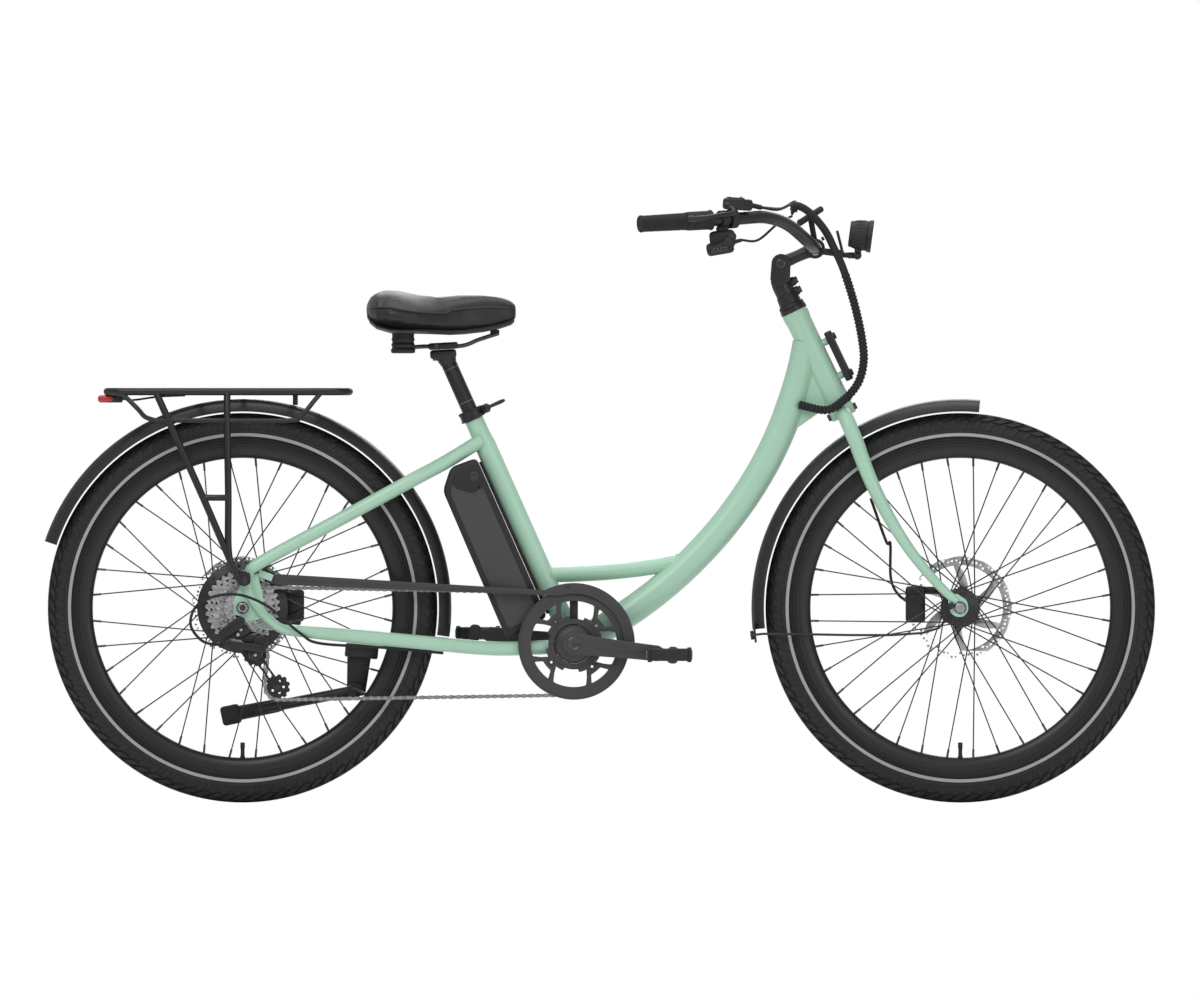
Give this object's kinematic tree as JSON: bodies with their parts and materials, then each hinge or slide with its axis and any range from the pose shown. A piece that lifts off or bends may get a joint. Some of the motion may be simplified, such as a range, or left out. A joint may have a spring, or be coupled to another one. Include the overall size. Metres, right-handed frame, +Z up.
{
  "type": "electric bicycle",
  "caption": "Step-through electric bicycle with rear rack, hub motor, seat-tube battery, fenders, adjustable stem and kickstand.",
  "frame": {"origin": "on the ground, under the middle of the bicycle's length and width", "axes": "+X forwards, +Y to the rider's left, +Z up"},
  "size_m": [1.9366, 0.7336, 1.0561],
  "materials": {
    "mint_paint": "satin pale green paint",
    "black_paint": "satin black paint",
    "tyre_rubber": "black tyre rubber with a grey reflective line",
    "black_rubber": "matt black rubber",
    "black_plastic": "matt black plastic",
    "dark_grey": "satin dark grey",
    "bright_steel": "bright steel",
    "saddle_cover": "black synthetic leather",
    "red_lens": "glossy red lens"
  },
  "bodies": {
    "frame": {"frame": "mint_paint", "seat_clamp": "black_paint", "battery_rail": "black_paint", "chain_guard": "black_plastic", "rear_rack": "black_paint", "tail_light": "red_lens", "rear_fender": "black_plastic", "kickstand_bracket": "black_paint", "derailleur_body": "black_paint", "rear_brake_caliper": "black_paint", "rear_axle": "bright_steel", "chain": "bright_steel", "shift_cable": "black_rubber", "basket_bracket": "black_paint", "cable_loom": "black_rubber"},
    "steering": {"fork": "mint_paint", "stem_base": "black_paint", "front_fender": "black_plastic", "fender_stay": "black_paint", "front_brake_caliper": "black_paint", "front_brake_hose": "black_rubber", "front_axle": "bright_steel"},
    "front_wheel": {"front_tyre": "tyre_rubber", "front_rim": "black_paint", "front_hub": "black_paint", "front_rotor": "bright_steel"},
    "handlebar": {"stem_link": "black_paint", "handlebar": "black_paint", "grip_right": "black_rubber", "grip_left": "black_rubber", "brake_perch_right": "black_plastic", "brake_perch_left": "black_plastic", "shifter": "black_plastic", "display": "black_plastic", "headlight_bracket": "black_paint"},
    "headlight": {"headlight": "black_plastic"},
    "brake_lever_right": {"brake_lever_right": "black_paint"},
    "brake_lever_left": {"brake_lever_left": "black_paint"},
    "shift_lever": {"shift_lever": "black_plastic"},
    "rear_wheel": {"rear_tyre": "tyre_rubber", "rear_rim": "black_paint", "hub_motor": "black_paint", "rear_rotor": "bright_steel"},
    "cassette": {"cassette": "bright_steel"},
    "crank": {"crank_right": "dark_grey", "crank_left": "dark_grey", "chainring": "dark_grey"},
    "pedal_right": {"pedal_right": "black_plastic"},
    "pedal_left": {"pedal_left": "black_plastic"},
    "derailleur_cage": {"derailleur_cage": "black_paint"},
    "guide_pulley": {"guide_pulley": "black_plastic"},
    "tension_pulley": {"tension_pulley": "black_plastic"},
    "kickstand": {"kickstand_leg": "black_paint"},
    "seat": {"seat_post": "black_paint", "saddle_rails": "black_paint", "saddle": "saddle_cover"},
    "clamp_lever": {"clamp_lever": "black_paint"},
    "battery": {"battery": "dark_grey"}
  },
  "joints": [
    {"name": "steer", "type": "hinge", "parent": "frame", "child": "steering", "pos_m": [0.33925, 0, 0.85597], "axis": [-0.4305, 0, 0.9026], "range_deg": [-45, 45], "deforming": ["cable_loom"]},
    {"name": "front_wheel_spin", "type": "hinge", "parent": "steering", "child": "front_wheel", "pos_m": [0.62834, 0, 0.34], "axis": [0, 1, 0], "continuous": true},
    {"name": "stem_tilt", "type": "hinge", "parent": "steering", "child": "handlebar", "pos_m": [0.31582, 0, 0.94063], "axis": [0, 1, 0], "range_deg": [-25, 15]},
    {"name": "headlight_tilt", "type": "hinge", "parent": "handlebar", "child": "headlight", "pos_m": [0.44885, 0, 0.95469], "axis": [0, 1, 0], "range_deg": [-5, 20]},
    {"name": "brake_lever_right_pull", "type": "hinge", "parent": "handlebar", "child": "brake_lever_right", "pos_m": [0.22413, -0.29724, 1.04089], "axis": [0, 0, 1], "range_deg": [0, 12], "stiffness_Nm_per_rad": 1.2, "springref_deg": -5.73},
    {"name": "brake_lever_left_pull", "type": "hinge", "parent": "handlebar", "child": "brake_lever_left", "pos_m": [0.22413, 0.29724, 1.04089], "axis": [0, 0, -1], "range_deg": [0, 12], "stiffness_Nm_per_rad": 1.2, "springref_deg": -5.73},
    {"name": "shift_lever_push", "type": "hinge", "parent": "handlebar", "child": "shift_lever", "pos_m": [0.22357, -0.29926, 0.97949], "axis": [0, 1, 0], "range_deg": [0, 18], "stiffness_Nm_per_rad": 0.3, "springref_deg": -5.73},
    {"name": "rear_wheel_spin", "type": "hinge", "parent": "frame", "child": "rear_wheel", "pos_m": [-0.62336, 0, 0.34], "axis": [0, 1, 0], "continuous": true},
    {"name": "crank_spin", "type": "hinge", "parent": "frame", "child": "crank", "pos_m": [-0.04566, 0, 0.2768], "axis": [0, 1, 0], "continuous": true, "deforming": ["chain"]},
    {"name": "cassette_spin", "type": "hinge", "parent": "frame", "child": "cassette", "pos_m": [-0.62336, 0, 0.34], "axis": [0, 1, 0], "continuous": true},
    {"name": "pedal_right_spin", "type": "hinge", "parent": "crank", "child": "pedal_right", "pos_m": [0.1213, 0, 0.25807], "axis": [0, 1, 0], "continuous": true},
    {"name": "pedal_left_spin", "type": "hinge", "parent": "crank", "child": "pedal_left", "pos_m": [-0.21261, 0, 0.29553], "axis": [0, 1, 0], "continuous": true},
    {"name": "cage_swing", "type": "hinge", "parent": "frame", "child": "derailleur_cage", "pos_m": [-0.60136, -0.05, 0.26], "axis": [0, 1, 0], "range_deg": [-12, 25], "stiffness_Nm_per_rad": 1.5},
    {"name": "guide_pulley_spin", "type": "hinge", "parent": "frame", "child": "guide_pulley", "pos_m": [-0.60136, -0.05, 0.26], "axis": [0, 1, 0], "continuous": true},
    {"name": "tension_pulley_spin", "type": "hinge", "parent": "derailleur_cage", "child": "tension_pulley", "pos_m": [-0.56236, -0.05, 0.202], "axis": [0, 1, 0], "continuous": true},
    {"name": "kickstand_swing", "type": "hinge", "parent": "frame", "child": "kickstand", "pos_m": [-0.42766, 0.052, 0.1958], "axis": [0, 1, 0], "range_deg": [-100, 0]},
    {"name": "seatpost_slide", "type": "slide", "parent": "frame", "child": "seat", "axis": [-0.4067, 0, 0.9135], "range_m": [-0.06, 0.1]},
    {"name": "clamp_lever_flip", "type": "hinge", "parent": "frame", "child": "clamp_lever", "pos_m": [-0.19731, -0.0125, 0.68873], "axis": [0.4067, 0, -0.9135], "range_deg": [0, 110]},
    {"name": "battery_tilt", "type": "hinge", "parent": "frame", "child": "battery", "pos_m": [-0.08833, 0, 0.32348], "axis": [-0.9135, 0, -0.4067], "range_deg": [0, 14]}
  ],
  "couplings": [
    {"joint": "cassette_spin", "follows": "crank_spin", "ratio": 2.4444},
    {"joint": "guide_pulley_spin", "follows": "crank_spin", "ratio": -4},
    {"joint": "tension_pulley_spin", "follows": "crank_spin", "ratio": 4}
  ]
}
